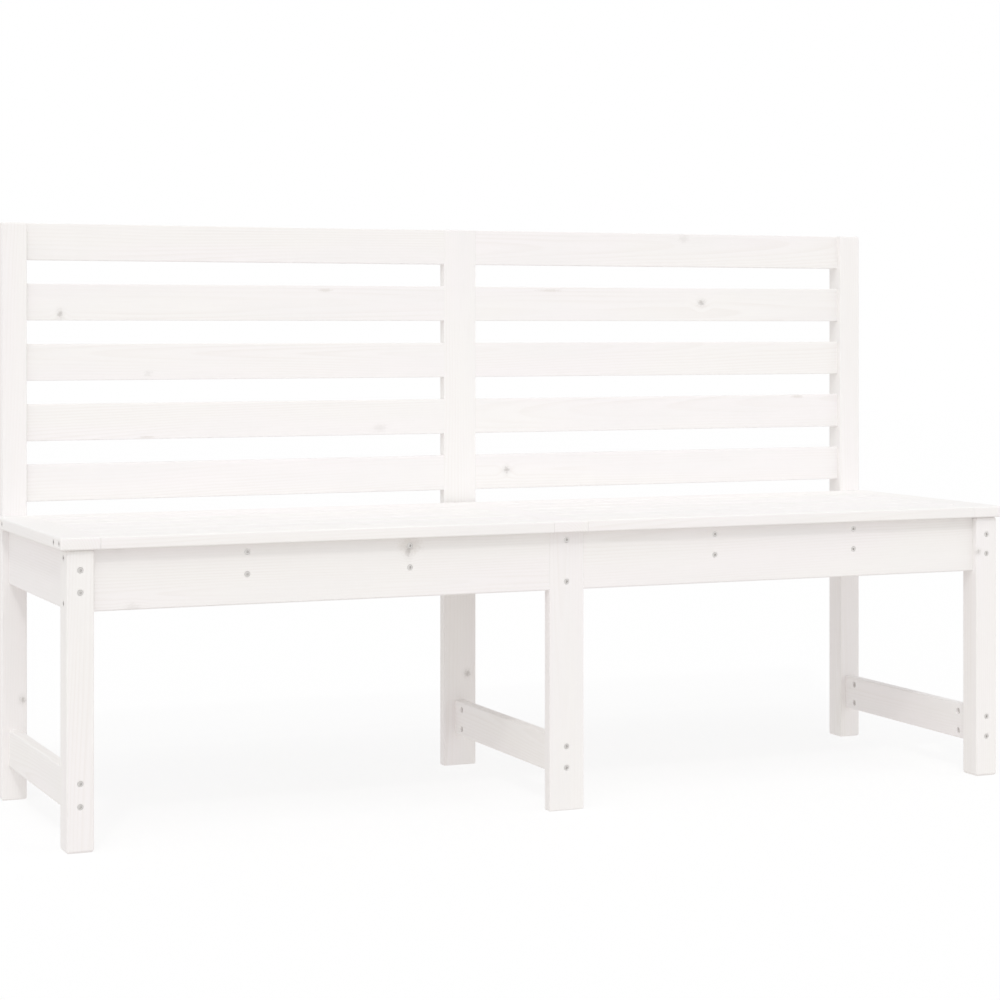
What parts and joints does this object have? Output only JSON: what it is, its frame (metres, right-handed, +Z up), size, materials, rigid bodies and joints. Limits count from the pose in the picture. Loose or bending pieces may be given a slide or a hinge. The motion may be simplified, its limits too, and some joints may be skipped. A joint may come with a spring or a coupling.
{
  "type": "wooden bench",
  "caption": "Long white-painted wooden bench with a slatted back and plank seat, on corner and centre legs, for sitting side by side on a patio or porch.",
  "frame": {"origin": "on the floor, under the middle of the bench's length and depth", "axes": "+X along the bench to the sitter's left (right in the picture), +Y from the front to the back, +Z up"},
  "size_m": [1.595, 0.48, 0.915],
  "materials": {
    "painted_pine": "white satin paint over planed pine, grain and knots showing faintly",
    "zinc_steel": "bright zinc plating",
    "bare_beech": "bare turned beech"
  },
  "bodies": {
    "root": {"front_leg_left": "painted_pine", "front_leg_right": "painted_pine", "front_leg_centre": "painted_pine", "rear_post_left": "painted_pine", "rear_post_right": "painted_pine", "rear_post_centre": "painted_pine", "front_apron_left": "painted_pine", "front_apron_right": "painted_pine", "rear_rail_left": "painted_pine", "rear_rail_right": "painted_pine", "end_rail_left": "painted_pine", "end_rail_right": "painted_pine", "centre_rail": "painted_pine", "stretcher_left": "painted_pine", "stretcher_centre": "painted_pine", "stretcher_right": "painted_pine", "seat_bearer_1": "painted_pine", "seat_bearer_2": "painted_pine", "seat_bearer_3": "painted_pine", "seat_bearer_4": "painted_pine", "seat_end_board_left": "painted_pine", "seat_end_board_right": "painted_pine", "seat_centre_board": "painted_pine", "seat_plank_left_1": "painted_pine", "seat_plank_left_2": "painted_pine", "seat_plank_left_3": "painted_pine", "seat_plank_left_4": "painted_pine", "seat_plank_left_5": "painted_pine", "seat_plank_left_6": "painted_pine", "seat_plank_left_7": "painted_pine", "seat_plank_right_1": "painted_pine", "seat_plank_right_2": "painted_pine", "seat_plank_right_3": "painted_pine", "seat_plank_right_4": "painted_pine", "seat_plank_right_5": "painted_pine", "seat_plank_right_6": "painted_pine", "seat_plank_right_7": "painted_pine", "back_slat_left_1": "painted_pine", "back_slat_left_2": "painted_pine", "back_slat_left_3": "painted_pine", "back_slat_left_4": "painted_pine", "back_slat_left_5": "painted_pine", "back_slat_right_1": "painted_pine", "back_slat_right_2": "painted_pine", "back_slat_right_3": "painted_pine", "back_slat_right_4": "painted_pine", "back_slat_right_5": "painted_pine", "leg_bolts": "zinc_steel", "board_bolts": "zinc_steel", "seat_bolts": "zinc_steel", "barrel_nuts": "zinc_steel", "seat_screws": "zinc_steel", "dowels": "bare_beech"}
  },
  "joints": []
}
